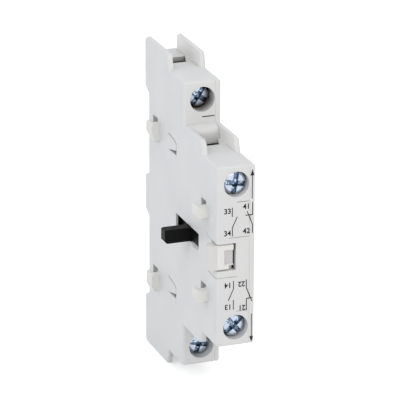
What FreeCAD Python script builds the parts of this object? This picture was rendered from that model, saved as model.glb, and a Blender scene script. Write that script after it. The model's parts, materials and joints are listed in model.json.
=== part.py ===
"""Auxiliary contact block that hooks onto the side of a contactor.

A slim two-shell housing stands upright. Its open side hooks, its latch and its black lever
point to -X, where the contactor stands. Inside, the lever's slide carries two spring-loaded
contact bridges: the break contact opens and the make contact closes when the lever goes back.
Four box terminals, two on each tier of the stepped front, take the wires.

Frame, in millimetres: X = 0 is the face that lies on the contactor, -Y is the front with the
screws, +Z is up. The origin is the middle of the lever where it leaves the housing.
"""
import FreeCAD, Part
import math
import os

import Sketcher

doc = FreeCAD.newDocument("AuxiliaryContactBlock")

# The driving dimensions. Distances called setback are measured from a front face to the back.
DIMENSIONS = {
    # Housing, seen from the front and from the side
    "block_width": 10.0,
    "block_depth": 54.0,
    "lever_setback": 20.0,
    "tier_setback": 24.5,
    "front_roof": 23.6,
    "rear_roof": 38.1,
    "front_cheek_top": 27.0,
    "rear_cheek_top": 42.2,
    "front_cheek_setback": 10.3,
    "rear_cheek_setback": 10.9,
    "cheek_slope": 1.1,
    "cheek_corner": 1.2,
    "side_cheek_corner": 2.2,
    "step_round": 2.0,
    "wall": 1.3,
    "cover_thickness": 1.3,
    "inner_wall": 1.2,
    "rim_round": 0.7,
    "cover_rim_bevel": 0.4,
    "edge_round": 0.5,
    "seam_bevel": 0.2,
    # Back wall and the pads on its edge
    "back_wall": 1.5,
    "back_recess": 2.8,
    "middle_pad_half": 4.7,
    "corner_pad_start": 28.8,
    "pad_slope": 1.4,
    # Terminals
    "screw_across": 5.1,
    "screw_drop": 4.8,
    "screw_hole_radius": 3.3,
    "slot_setback": 17.0,
    "slot_length": 4.75,
    "slot_rib": 1.7,
    "slot_rib_end": 0.5,
    "clamp_setback": 11.9,
    "clamp_front": 1.8,
    "clamp_wall": 0.8,
    "clamp_width": 6.8,
    "clamp_height": 6.6,
    "head_radius": 3.0,
    "head_height": 2.1,
    "head_round": 0.8,
    "shank_radius": 1.45,
    "shank_length": 10.8,
    "pin_radius": 0.8,
    "cross_length": 3.5,
    "cross_width": 0.9,
    "cross_depth": 1.4,
    "blade_width": 0.9,
    "blade_depth": 0.8,
    "plate_thickness": 1.0,
    "plate_height": 5.2,
    "rear_upper_recess": 3.3,
    "rear_lower_recess": 2.0,
    "front_upper_recess": 1.1,
    "front_lower_recess": 1.5,
    "rear_upper_turn": 35.0,
    "rear_lower_turn": 15.0,
    "front_upper_turn": 10.0,
    "front_lower_turn": 50.0,
    # Contact system
    "strip_thickness": 0.8,
    "strip_width": 5.0,
    "strip_neck": 3.6,
    "strip_end": 4.2,
    "strip_foot": 9.0,
    "tip_radius": 1.2,
    "tip_height": 0.7,
    "tip_height_centre": 5.6,
    "bridge_half": 7.0,
    "bridge_width": 4.0,
    "bridge_end_width": 3.0,
    "bridge_thickness": 0.6,
    "contact_gap": 3.0,
    "over_travel": 1.5,
    "spring_room": 6.2,
    "contact_room": 9.0,
    # Slide with its lever
    "carrier_half": 3.2,
    "carrier_front": 9.6,
    "carrier_end_wall": 1.3,
    "rail": 1.2,
    "lever_reach": 7.0,
    "lever_thickness": 2.8,
    "lever_height": 2.7,
    "lever_chamfer": 0.6,
    "lever_slot_front": 13.5,
    "lever_slot_back": 28.2,
    "slot_ramp_length": 4.6,
    "slot_ramp_height": 1.2,
    "foot_depth": 0.35,
    "peg_radius": 1.1,
    "peg_length": 2.4,
    # Springs
    "return_spring_radius": 1.9,
    "return_spring_wire": 0.4,
    "return_spring_pitch": 1.4,
    "contact_spring_radius": 1.45,
    "contact_spring_wire": 0.3,
    "contact_spring_pitch": 1.05,
    "latch_spring_radius": 1.35,
    "latch_spring_wire": 0.3,
    "latch_spring_pitch": 0.85,
    # Side hooks
    "back_hook_setback": 41.8,
    "back_hook_length": 4.2,
    "back_hook_arm": 1.9,
    "back_hook_reach": 2.4,
    "upper_back_hook_top": 22.2,
    "upper_back_hook_height": 4.8,
    "upper_back_hook_ramp": 2.1,
    "lower_back_hook_top": -19.0,
    "lower_back_hook_height": 4.6,
    "lower_back_hook_ramp": 1.2,
    "front_hook_setback": 5.6,
    "front_hook_length": 4.1,
    "front_hook_arm": 2.2,
    "front_hook_reach": 3.0,
    "front_hook_height": 2.9,
    "front_hook_ramp": 0.35,
    "upper_front_hook_top": 11.7,
    "lower_front_hook_top": -10.4,
    "hook_lip": 1.1,
    "hook_corner": 0.4,
    "core_hole_beyond": 1.5,
    "core_hole_rise": 0.75,
    # Sprung tongues cut free in the side face
    "tongue_setback": 29.9,
    "tongue_length": 5.7,
    "tongue_height": 3.2,
    "tongue_rise": 1.3,
    "tongue_slit": 0.35,
    "upper_tongue_foot": 17.3,
    "lower_tongue_foot": -21.6,
    # Front latch
    "window_width": 5.05,
    "window_half": 3.55,
    "front_wall": 1.5,
    "latch_room_depth": 6.4,
    "latch_room_half": 4.8,
    "latch_width": 4.45,
    "latch_half": 3.3,
    "latch_setback": 0.35,
    "latch_reach": 2.0,
    "nub_depth": 3.2,
    "flange_half": 4.6,
    "flange_setback": 1.6,
    "flange_depth": 4.6,
    "finger_width": 2.4,
    "finger_top": 1.6,
    "finger_foot": 2.2,
    "finger_depth": 1.1,
    "toe_width": 1.2,
    "toe_height": 1.15,
    "toe_depth": 1.2,
    # Grooves of the belt that frames the latch
    "belt_groove": 0.25,
    "belt_depth": 0.25,
    "belt_foot": 5.2,
    "belt_top": 3.35,
    "belt_shoulder": 4.6,
    "belt_setback": 7.6,
    "belt_bend": 5.9,
    "belt_width": 5.5,
    # Cover pins
    "cover_pin_radius": 0.6,
    "cover_pin_length": 2.0,
    "front_pin_setback": 20.6,
    "front_pin_height": 12.0,
    "back_pin_inset": 2.9,
    # Clearances
    "seat_gap": 0.05,
    "slide_gap": 0.25,
}


class Size:
    """A length with its present value and the sheet expression that keeps it up to date."""

    def __init__(self, value, text):
        self.value = value
        self.text = text

    def _join(self, other, sign, turned=False):
        if not isinstance(other, Size):
            other = Size(float(other), repr(float(other)))
        first, second = (other, self) if turned else (self, other)
        values = {"+": first.value + second.value, "-": first.value - second.value,
                  "*": first.value * second.value}
        return Size(values[sign], f"({first.text} {sign} {second.text})")

    def __add__(self, other):
        return self._join(other, "+")

    def __radd__(self, other):
        return self._join(other, "+", True)

    def __sub__(self, other):
        return self._join(other, "-")

    def __rsub__(self, other):
        return self._join(other, "-", True)

    def __mul__(self, other):
        return self._join(other, "*")

    def __rmul__(self, other):
        return self._join(other, "*", True)

    def __neg__(self):
        return self._join(-1.0, "*")


class Dimensions:
    """The sheet's cells by name, so that dim.wall is the size called wall."""

    def __init__(self, table):
        sheet = doc.addObject("Spreadsheet::Sheet", "Sizes")
        for row, (name, value) in enumerate(table.items(), start=1):
            sheet.set(f"A{row}", name)
            sheet.set(f"B{row}", str(value))
            sheet.setAlias(f"B{row}", name)
            setattr(self, name, Size(value, f"Sizes.{name}"))


dim = Dimensions(DIMENSIONS)
doc.recompute()
ZERO = Size(0.0, "0")
ALONG_X = FreeCAD.Vector(1, 0, 0)
ALONG_Y = FreeCAD.Vector(0, 1, 0)
STEPS_PER_TURN = 8
STEP_FACETS = 4


def bind(item, path, size):
    """Tie one property of an object to a size."""
    item.setExpression(path, size.text)


def new_body(name):
    """A body whose label is the name of the piece."""
    body = doc.addObject("PartDesign::Body", name)
    body.Label = name
    return body


def origin_part(body, role):
    """One of the body's own origin planes or axes."""
    return next(item for item in body.Origin.OriginFeatures if item.Role == role)


def sketch_on(body, plane, place):
    """A sketch parallel to one of the body's origin planes, at the coordinate called place.

    On YZ the sketch reads (Y, Z), on XZ it reads (X, Z) and on XY it reads (X, Y).
    """
    sketch = body.newObject("Sketcher::SketchObject", "Sketch")
    sketch.AttachmentSupport = (origin_part(body, plane + "_Plane"), [""])
    sketch.MapMode = "FlatFace"
    bind(sketch, "AttachmentOffset.Base.z", -place if plane == "XZ" else place)
    return sketch


def fix_point(sketch, edge, end, across, up):
    """Hold one point of the sketch at two sizes."""
    for kind, size in (("DistanceX", across), ("DistanceY", up)):
        index = sketch.addConstraint(Sketcher.Constraint(kind, edge, end, size.value))
        sketch.setExpression(f"Constraints[{index}]", size.text)


def draw_outline(sketch, points):
    """A closed outline of straight edges through (across, up) pairs of sizes."""
    corners = [FreeCAD.Vector(across.value, up.value, 0) for across, up in points]
    count = len(corners)
    first = sketch.GeometryCount
    edges = [Part.LineSegment(corners[i], corners[(i + 1) % count]) for i in range(count)]
    sketch.addGeometry(edges, False)
    joins = [Sketcher.Constraint("Coincident", first + i, 2, first + (i + 1) % count, 1)
             for i in range(count)]
    sketch.addConstraint(joins)
    for i, (across, up) in enumerate(points):
        fix_point(sketch, first + i, 1, across, up)
    return sketch


def draw_box(sketch, left, right, low, high):
    """A rectangle between four sizes."""
    return draw_outline(sketch, [(left, low), (right, low), (right, high), (left, high)])


def draw_circle(sketch, across, up, radius):
    """A circle whose centre and radius are sizes."""
    centre = FreeCAD.Vector(across.value, up.value, 0)
    edge = sketch.addGeometry(Part.Circle(centre, FreeCAD.Vector(0, 0, 1), radius.value), False)
    fix_point(sketch, edge, 3, across, up)
    index = sketch.addConstraint(Sketcher.Constraint("Radius", edge, radius.value))
    sketch.setExpression(f"Constraints[{index}]", radius.text)
    return sketch


def extrude(kind, body, sketch, length, turned):
    """A pad or pocket of one sketch."""
    feature = body.newObject("PartDesign::" + kind, kind)
    feature.Profile = sketch
    feature.Reversed = turned
    feature.Length = length.value
    bind(feature, "Length", length)
    sketch.Visibility = False
    return feature


def pad(body, sketch, length, turned=False):
    """Adds the sketch's outline; turned goes against the sketch's normal."""
    return extrude("Pad", body, sketch, length, turned)


def pocket(body, sketch, length, turned=False):
    """Cuts against the sketch's normal, or along it when turned."""
    return extrude("Pocket", body, sketch, length, turned)


def mirror_up_down(body, features):
    """Repeats features on the other side of the block's mid height."""
    mirrored = body.newObject("PartDesign::Mirrored", "Mirrored")
    mirrored.Originals = features
    mirrored.MirrorPlane = (origin_part(body, "XY_Plane"), [""])
    body.Tip = mirrored
    return mirrored


def edges_along_x(shape, places):
    """Names of the edges that run along X through the given (Y, Z) places."""
    names = []
    for index, edge in enumerate(shape.Edges, start=1):
        start, end = edge.Vertexes[0].Point, edge.Vertexes[-1].Point
        if abs(start.x - end.x) < 1e-3:
            continue
        for across, up in places:
            if all(abs(p.y - across.value) < 1e-3 and abs(p.z - up.value) < 1e-3 for p in (start, end)):
                names.append(f"Edge{index}")
    return names


def round_edges(body, base, names, radius):
    """A fillet on named edges of the last feature."""
    fillet = body.newObject("PartDesign::Fillet", "Fillet")
    fillet.Base = (base, names)
    bind(fillet, "Radius", radius)
    return fillet


def bevel_edges(body, base, names, size):
    """A chamfer on named edges of the last feature."""
    chamfer = body.newObject("PartDesign::Chamfer", "Chamfer")
    chamfer.Base = (base, names)
    bind(chamfer, "Size", size)
    return chamfer


def place_body(body, across, back, up):
    """Puts a body that was drawn about its own origin in its place."""
    for axis, size in (("x", across), ("y", back), ("z", up)):
        bind(body, f"Placement.Base.{axis}", size)


def behind_front(setback):
    """The Y coordinate of a place that far behind the front face."""
    return setback - dim.lever_setback


def both_halves(points):
    """Closes an upper outline with its mirror image below mid height."""
    return points + [(across, -up) for across, up in reversed(points)]


seam = dim.block_width - dim.cover_thickness
slot_back = dim.slot_setback + dim.slot_length
strip_front = slot_back + dim.seat_gap * 3
strip_back = strip_front + dim.strip_thickness
clamp_back = strip_back + dim.seat_gap + dim.clamp_wall

# The two tiers. Each has a front face, a roof half height and the axes of its two screws.
TIERS = {
    "rear": (dim.tier_setback, dim.rear_roof),
    "front": (ZERO, dim.front_roof),
}
TERMINALS = [
    (f"{tier}_{side}", face, roof - dim.screw_drop if side == "upper" else dim.screw_drop - roof,
     getattr(dim, f"{tier}_{side}_recess"), getattr(dim, f"{tier}_{side}_turn"))
    for tier, (face, roof) in TIERS.items() for side in ("upper", "lower")
]

# Contact positions, as distances behind the front face
opening_tip_face = strip_back + dim.tip_height
opening_bridge_front = opening_tip_face + dim.seat_gap + dim.tip_height
closing_strip_front = dim.tier_setback + strip_front
closing_bridge_back = closing_strip_front - dim.tip_height - dim.contact_gap - dim.tip_height
opening_window_front = opening_bridge_front - dim.over_travel - dim.seat_gap
opening_window_back = opening_bridge_front + dim.bridge_thickness + dim.spring_room
closing_window_back = closing_bridge_back + dim.seat_gap
closing_window_front = closing_bridge_back - dim.bridge_thickness - dim.spring_room
stroke = dim.contact_gap + dim.over_travel

# The slide ends behind its rear window, and its spring pushes on the back wall
carrier_back = closing_window_back + dim.carrier_end_wall
spring_wall = dim.block_depth - dim.back_wall
back_pin_setback = dim.block_depth - dim.back_pin_inset


def rounded_step(back, top, front):
    """A quarter ellipse that leads a wire down into its slot, from flat at the back to upright."""
    turns = [math.pi / 2 * step / STEP_FACETS for step in range(STEP_FACETS + 1)]
    return [(back - (back - front) * math.sin(turn), top - dim.step_round * (1 - math.cos(turn)))
            for turn in turns]


def block_outline():
    """The housing's side outline at roof level, as (Y, Z) pairs."""
    back = behind_front(dim.block_depth)
    waist = back - dim.back_recess
    tier = behind_front(dim.tier_setback)
    front = behind_front(ZERO)
    upper = [
        (back, dim.middle_pad_half),
        (waist, dim.middle_pad_half + dim.pad_slope),
        (waist, dim.corner_pad_start - dim.pad_slope),
        (back, dim.corner_pad_start),
        (back, dim.rear_roof),
        (tier, dim.rear_roof),
        *rounded_step(tier, dim.front_cheek_top, behind_front(slot_back)),
        (behind_front(slot_back), dim.front_roof),
        (front, dim.front_roof),
    ]
    return both_halves(upper)


def cheek_outline():
    """The outline of a side wall, whose cheeks stand above the roofs beside the wire slots."""
    back = behind_front(dim.block_depth)
    waist = back - dim.back_recess
    tier = behind_front(dim.tier_setback)
    front = behind_front(ZERO)
    rear_start = tier + dim.rear_cheek_setback
    front_start = front + dim.front_cheek_setback
    upper = [
        (back, dim.middle_pad_half),
        (waist, dim.middle_pad_half + dim.pad_slope),
        (waist, dim.corner_pad_start - dim.pad_slope),
        (back, dim.corner_pad_start),
        (back, dim.rear_cheek_top),
        (rear_start + dim.cheek_slope, dim.rear_cheek_top),
        (rear_start, dim.rear_roof),
        (tier, dim.rear_roof),
        (tier, dim.front_cheek_top),
        (front_start + dim.cheek_slope, dim.front_cheek_top),
        (front_start, dim.front_roof),
        (front, dim.front_roof),
    ]
    return both_halves(upper)


def cheek_corners():
    """The places of the cheeks' free corners, on the rear tier and on the front one."""
    back = behind_front(dim.block_depth)
    rear_start = behind_front(dim.tier_setback + dim.rear_cheek_setback)
    front_start = behind_front(dim.front_cheek_setback)
    rear = [(back, dim.rear_cheek_top), (rear_start + dim.cheek_slope, dim.rear_cheek_top)]
    front = [(front_start + dim.cheek_slope, dim.front_cheek_top)]
    return both_halves(rear), both_halves(front)


def tier_corners():
    """The places where the roofs meet the front faces, which are rounded a little."""
    return both_halves([(behind_front(face), roof) for face, roof in TIERS.values()])


def hollow(body, front, back, low, high):
    """A chamber of the tub, cut from the seam down to the side wall."""
    sketch = sketch_on(body, "YZ", seam)
    draw_box(sketch, behind_front(front), behind_front(back), low, high)
    return pocket(body, sketch, seam - dim.wall)


def add_hook(body, setback, length, arm, reach, height, top, ramp):
    """A side hook: an arm at its front, and a lip that points to the back over a core hole."""
    low = top - height
    profile = sketch_on(body, "XZ", behind_front(setback + length))
    draw_outline(profile, [
        (dim.wall * 0.5, low),
        (dim.wall * 0.5, top),
        (dim.hook_corner - reach, top),
        (-reach, top - dim.hook_corner),
        (-reach, low + ramp),
        (ramp * 0.5 - reach, low),
    ])
    pad(body, profile, length)
    throat = sketch_on(body, "XZ", behind_front(setback + arm))
    draw_box(throat, dim.hook_lip - reach, ZERO, low, top)
    pocket(body, throat, length - arm)
    core = sketch_on(body, "YZ", ZERO)
    draw_box(core, behind_front(setback + arm), behind_front(setback + length + dim.core_hole_beyond),
             low - dim.core_hole_rise, top + dim.core_hole_rise)
    pocket(body, core, dim.wall, turned=True)


def edges_on_face(shape, place):
    """Names of the edges that lie in the plane X = place."""
    return [f"Edge{index}" for index, edge in enumerate(shape.Edges, start=1)
            if all(abs(vertex.X - place.value) < 1e-3 for vertex in edge.Vertexes)]


def round_shell(body, shell, front_round):
    """Rounds a shell's cheek corners and tier corners, and bevels its edge at the seam."""
    back_corners, front_corners = cheek_corners()
    steps = ((back_corners, dim.cheek_corner), (front_corners, front_round),
             (tier_corners(), dim.edge_round))
    for places, radius in steps:
        doc.recompute()
        shell = round_edges(body, shell, edges_along_x(shell.Shape, places), radius)
    doc.recompute()
    shell = bevel_edges(body, shell, edges_on_face(shell.Shape, seam), dim.seam_bevel)
    doc.recompute()
    return shell


def make_base():
    """The tub: side wall, roofs, fronts and all inner partitions, moulded as one piece."""
    body = new_body("housing_base")
    pad(body, draw_outline(sketch_on(body, "YZ", ZERO), cheek_outline()), dim.wall)
    block = pad(body, draw_outline(sketch_on(body, "YZ", ZERO), block_outline()), seam)
    shell = round_shell(body, block, dim.side_cheek_corner)
    round_edges(body, shell, edges_on_face(shell.Shape, ZERO), dim.rim_round)

    cuts = []
    for face, roof in TIERS.values():
        axis = roof - dim.screw_drop
        half = dim.clamp_height * 0.5 + dim.slide_gap
        chamber_back = face + clamp_back + dim.seat_gap * 2
        # Chamber of the clamp, wire slot through the roof, groove that holds the strip
        cuts.append(hollow(body, face + dim.clamp_setback - dim.seat_gap * 2, chamber_back,
                           axis - half, axis + half))
        cuts.append(hollow(body, face + dim.slot_setback, face + slot_back, axis, roof + dim.wall))
        cuts.append(hollow(body, face + strip_front - dim.seat_gap, face + strip_back + dim.seat_gap,
                           dim.contact_room - dim.seat_gap, axis))
        # Screw well
        well = sketch_on(body, "XZ", behind_front(face))
        draw_circle(well, dim.screw_across, axis, dim.screw_hole_radius)
        cuts.append(pocket(body, well, dim.clamp_setback))
    # Rooms that the bridges move in
    below = -dim.inner_wall
    cuts.append(hollow(body, strip_front - dim.inner_wall,
                       opening_bridge_front + stroke + dim.bridge_thickness + dim.inner_wall,
                       below, dim.contact_room))
    cuts.append(hollow(body, closing_bridge_back - dim.bridge_thickness - dim.inner_wall,
                       dim.tier_setback + strip_back + dim.inner_wall, below, dim.contact_room))
    # Channel of the slide, room of the latch
    cuts.append(hollow(body, dim.carrier_front - dim.slide_gap * 2, spring_wall, below,
                       dim.carrier_half + dim.slide_gap))
    cuts.append(hollow(body, dim.front_wall, dim.latch_room_depth, below, dim.latch_room_half))
    # Hollows that keep the moulding's walls even
    core_floor = dim.contact_room + dim.inner_wall
    cuts.append(hollow(body, dim.tier_setback + dim.inner_wall,
                       closing_strip_front - dim.inner_wall - dim.seat_gap, core_floor,
                       dim.rear_roof - dim.screw_drop - dim.clamp_height * 0.5 - dim.inner_wall
                       - dim.slide_gap))
    cuts.append(hollow(body, dim.front_wall,
                       dim.front_pin_setback - dim.cover_pin_radius - dim.inner_wall * 0.5,
                       dim.latch_room_half + dim.inner_wall,
                       dim.front_roof - dim.screw_drop - dim.screw_hole_radius - dim.inner_wall))
    # Holes for the cover's pins
    for setback, height in ((dim.front_pin_setback, dim.front_pin_height),
                            (back_pin_setback, dim.rear_roof - dim.screw_drop)):
        hole = draw_circle(sketch_on(body, "YZ", seam), behind_front(setback), height,
                           dim.cover_pin_radius + dim.seat_gap)
        cuts.append(pocket(body, hole, dim.cover_pin_length + dim.slide_gap))
    mirror_up_down(body, cuts)

    # Lever slot and latch window in the side face and the front
    slot = sketch_on(body, "YZ", ZERO)
    draw_box(slot, behind_front(dim.lever_slot_front), behind_front(dim.lever_slot_back),
             -dim.lever_height * 0.5 - dim.slide_gap, dim.lever_height * 0.5 + dim.slide_gap)
    pocket(body, slot, dim.wall, turned=True)
    window = sketch_on(body, "XZ", behind_front(ZERO))
    draw_box(window, -dim.wall, dim.window_width, -dim.window_half, dim.window_half)
    pocket(body, window, dim.front_wall)
    side_window = sketch_on(body, "YZ", ZERO)
    draw_box(side_window, behind_front(ZERO),
             behind_front(dim.latch_setback + dim.nub_depth + dim.slide_gap),
             -dim.window_half, dim.window_half)
    pocket(body, side_window, dim.wall, turned=True)

    # Ramp below the front of the lever slot, and the grooves of the belt round the latch
    slot_foot = -dim.lever_height * 0.5 - dim.slide_gap
    ramp = sketch_on(body, "XZ", behind_front(dim.lever_slot_front))
    draw_outline(ramp, [(ZERO, slot_foot), (ZERO, slot_foot - dim.slot_ramp_height),
                        (dim.wall, slot_foot)])
    pocket(body, ramp, dim.slot_ramp_length)
    front, groove = behind_front(ZERO), dim.belt_groove
    lower_belt = sketch_on(body, "YZ", ZERO)
    draw_box(lower_belt, front, behind_front(dim.belt_setback), -dim.belt_foot - groove,
             -dim.belt_foot)
    pocket(body, lower_belt, dim.belt_depth, turned=True)
    front_belt = sketch_on(body, "XZ", front)
    draw_box(front_belt, ZERO, dim.belt_width, -dim.belt_foot - groove, -dim.belt_foot)
    pocket(body, front_belt, dim.belt_depth)
    bend, end = behind_front(dim.belt_bend), behind_front(dim.belt_setback)
    upper_belt = sketch_on(body, "YZ", ZERO)
    draw_outline(upper_belt, [
        (front, dim.belt_top), (bend, dim.belt_top + groove), (end, dim.belt_shoulder),
        (end, dim.belt_shoulder + groove), (bend, dim.belt_top + groove * 2),
        (front, dim.belt_top + groove),
    ])
    pocket(body, upper_belt, dim.belt_depth, turned=True)

    for side in ("upper", "lower"):
        add_hook(body, dim.back_hook_setback, dim.back_hook_length, dim.back_hook_arm,
                 dim.back_hook_reach, getattr(dim, f"{side}_back_hook_height"),
                 getattr(dim, f"{side}_back_hook_top"), getattr(dim, f"{side}_back_hook_ramp"))
        add_hook(body, dim.front_hook_setback, dim.front_hook_length, dim.front_hook_arm,
                 dim.front_hook_reach, dim.front_hook_height,
                 getattr(dim, f"{side}_front_hook_top"), dim.front_hook_ramp)

    # Tongues, cut free along the top, the front and the foot
    for foot in (dim.upper_tongue_foot, dim.lower_tongue_foot):
        near = behind_front(dim.tongue_setback)
        far = near + dim.tongue_length
        shoulder = foot + dim.tongue_height
        slit = dim.tongue_slit
        cut = sketch_on(body, "YZ", ZERO)
        draw_outline(cut, [
            (near - slit, foot),
            (far, foot),
            (near, foot + dim.tongue_rise),
            (near, shoulder - slit),
            (near + dim.tongue_length * 0.25, shoulder + dim.tongue_rise * 0.5 - slit),
            (far, shoulder + dim.tongue_rise - slit),
            (far, shoulder + dim.tongue_rise),
            (near + dim.tongue_length * 0.22, shoulder + dim.tongue_rise * 0.5),
            (near - slit, shoulder),
        ])
        pocket(body, cut, dim.wall, turned=True)
    return body


def make_cover():
    """The plate that closes the tub, with pins, slot ribs and the seat of the latch spring."""
    body = new_body("housing_cover")
    plate = pad(body, draw_outline(sketch_on(body, "YZ", seam), cheek_outline()),
                dim.cover_thickness)
    shell = round_shell(body, plate, dim.cheek_corner)
    bevel_edges(body, shell, edges_on_face(shell.Shape, dim.block_width), dim.cover_rim_bevel)
    extras = []
    for face, roof in TIERS.values():
        foot = roof - dim.screw_drop + dim.clamp_height * 0.5 + dim.slide_gap
        near = behind_front(face + dim.slot_setback + dim.seat_gap)
        far = behind_front(face + slot_back - dim.seat_gap)
        rib = sketch_on(body, "XY", foot)
        draw_outline(rib, [(seam, near), (seam - dim.slot_rib, near),
                           (seam - dim.slot_rib_end, far), (seam, far)])
        extras.append(pad(body, rib, roof - foot))
    for setback, height in ((dim.front_pin_setback, dim.front_pin_height),
                            (back_pin_setback, dim.rear_roof - dim.screw_drop)):
        pin = draw_circle(sketch_on(body, "YZ", seam), behind_front(setback), height,
                          dim.cover_pin_radius)
        extras.append(pad(body, pin, dim.cover_pin_length, turned=True))
    mirror_up_down(body, extras)
    seat = draw_circle(sketch_on(body, "YZ", seam), latch_spring_y, ZERO,
                       dim.latch_spring_radius - dim.latch_spring_wire - dim.slide_gap)
    pad(body, seat, dim.inner_wall, turned=True)
    return body


latch_spring_y = behind_front(dim.flange_setback + dim.flange_depth * 0.5)


def make_carrier():
    """The black slide: two rails round two windows, the lever on its foot, a peg at the back."""
    body = new_body("contact_carrier")
    left = dim.wall + dim.slide_gap
    right = seam - dim.slide_gap
    sketch = sketch_on(body, "YZ", left)
    draw_box(sketch, behind_front(dim.carrier_front), behind_front(carrier_back),
             -dim.carrier_half, dim.carrier_half)
    pad(body, sketch, right - left)
    for front, back in ((opening_window_front, opening_window_back),
                        (closing_window_front, closing_window_back)):
        window = sketch_on(body, "XY", dim.carrier_half)
        draw_box(window, left + dim.rail, right - dim.rail, behind_front(front), behind_front(back))
        pocket(body, window, dim.carrier_half * 2)
    lever = sketch_on(body, "XZ", dim.lever_thickness * 0.5)
    half, cut, reach = dim.lever_height * 0.5, dim.lever_chamfer, dim.lever_reach
    draw_outline(lever, [
        (left + dim.rail * 0.5, -half), (left + dim.rail * 0.5, half),
        (cut - reach, half), (-reach, half - cut), (-reach, cut - half), (cut - reach, -half),
    ])
    pad(body, lever, dim.lever_thickness)
    foot = sketch_on(body, "YZ", dim.foot_depth)
    draw_box(foot, behind_front(dim.lever_slot_front + dim.slide_gap),
             behind_front(dim.lever_slot_back - stroke - dim.slide_gap), -half, half)
    pad(body, foot, left + dim.rail * 0.5 - dim.foot_depth)
    peg = draw_circle(sketch_on(body, "XZ", behind_front(carrier_back)), dim.screw_across, ZERO,
                      dim.peg_radius)
    pad(body, peg, dim.peg_length, turned=True)
    return body


def make_bridge(name, front):
    """A contact bridge: a thin strip, wide in the middle, that joins two contact points."""
    body = new_body(name)
    half, middle, end = dim.bridge_half, dim.bridge_width * 0.5, dim.bridge_end_width * 0.5
    waist = dim.carrier_half + dim.slide_gap
    right = [(middle, waist), (end, waist + (middle - end)), (end, half - end * 0.5),
             (end * 0.5, half)]
    points = both_halves(list(reversed(right)))
    points += [(-across, up) for across, up in reversed(points)]
    sketch = sketch_on(body, "XZ", dim.bridge_thickness)
    draw_outline(sketch, points)
    pad(body, sketch, dim.bridge_thickness)
    place_body(body, dim.screw_across, behind_front(front), ZERO)
    return body


def make_tip(name, front, height):
    """One silver contact point, a short cylinder along Y."""
    tip = doc.addObject("Part::Cylinder", name)
    bind(tip, "Radius", dim.tip_radius)
    bind(tip, "Height", dim.tip_height)
    tip.Placement.Rotation = FreeCAD.Rotation(FreeCAD.Vector(1, 0, 0), -90)
    place_body(tip, dim.screw_across, behind_front(front), height)
    return tip


def make_tip_pair(name, front):
    """The two contact points of a bridge, one piece of each above and below."""
    pair = doc.addObject("Part::Compound", name)
    pair.Links = [make_tip(name + "_high", front, dim.tip_height_centre),
                  make_tip(name + "_low", front, -dim.tip_height_centre)]
    pair.Label = name
    return pair


def make_strip(name, front, axis, side):
    """A fixed contact strip from the clamp down to the contact point."""
    body = new_body(name)
    wide, neck = dim.strip_width * 0.5, dim.strip_neck * 0.5
    clamp_half = dim.clamp_height * 0.5
    up = [
        (wide, axis + clamp_half - dim.seat_gap),
        (wide, axis - clamp_half - dim.slide_gap),
        (neck, axis - clamp_half - dim.slide_gap - (wide - neck)),
        (neck, dim.strip_foot),
        (dim.bridge_width * 0.5, dim.strip_foot - (wide - neck)),
        (dim.bridge_width * 0.5, dim.strip_end),
    ]
    if side == "lower":
        up = [(across, -height) for across, height in up]
    points = up + [(-across, height) for across, height in reversed(up)]
    sketch = sketch_on(body, "XZ", dim.strip_thickness)
    draw_outline(sketch, points)
    pad(body, sketch, dim.strip_thickness)
    place_body(body, dim.screw_across, behind_front(front), ZERO)
    return body


def make_clamp(name, face, axis):
    """The box clamp: a ring bent from plate, with the screw's thread in its thick front."""
    body = new_body(name)
    half = dim.clamp_width * 0.5
    inner = half - dim.clamp_wall
    sketch = sketch_on(body, "XY", -dim.clamp_height * 0.5)
    draw_box(sketch, -half, half, dim.clamp_setback, clamp_back)
    draw_box(sketch, -inner, inner, dim.clamp_setback + dim.clamp_front,
             clamp_back - dim.clamp_wall)
    pad(body, sketch, dim.clamp_height)
    hole = draw_circle(sketch_on(body, "XZ", dim.clamp_setback), ZERO, ZERO,
                       dim.shank_radius + dim.seat_gap)
    pocket(body, hole, dim.clamp_front)
    place_body(body, dim.screw_across, behind_front(face), axis)
    return body


def make_plate(name, face, axis, recess):
    """The pressure plate that swivels on the screw's end and presses on the wire."""
    body = new_body(name)
    half = dim.clamp_width * 0.5 - dim.clamp_wall - dim.slide_gap
    tall = dim.plate_height * 0.5
    sketch = sketch_on(body, "XZ", dim.plate_thickness)
    draw_box(sketch, -half, half, -tall, tall)
    draw_circle(sketch, ZERO, ZERO, dim.pin_radius + dim.seat_gap)
    pad(body, sketch, dim.plate_thickness)
    place_body(body, dim.screw_across,
               behind_front(face + recess + dim.head_height + dim.shank_length), axis)
    return body


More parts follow.
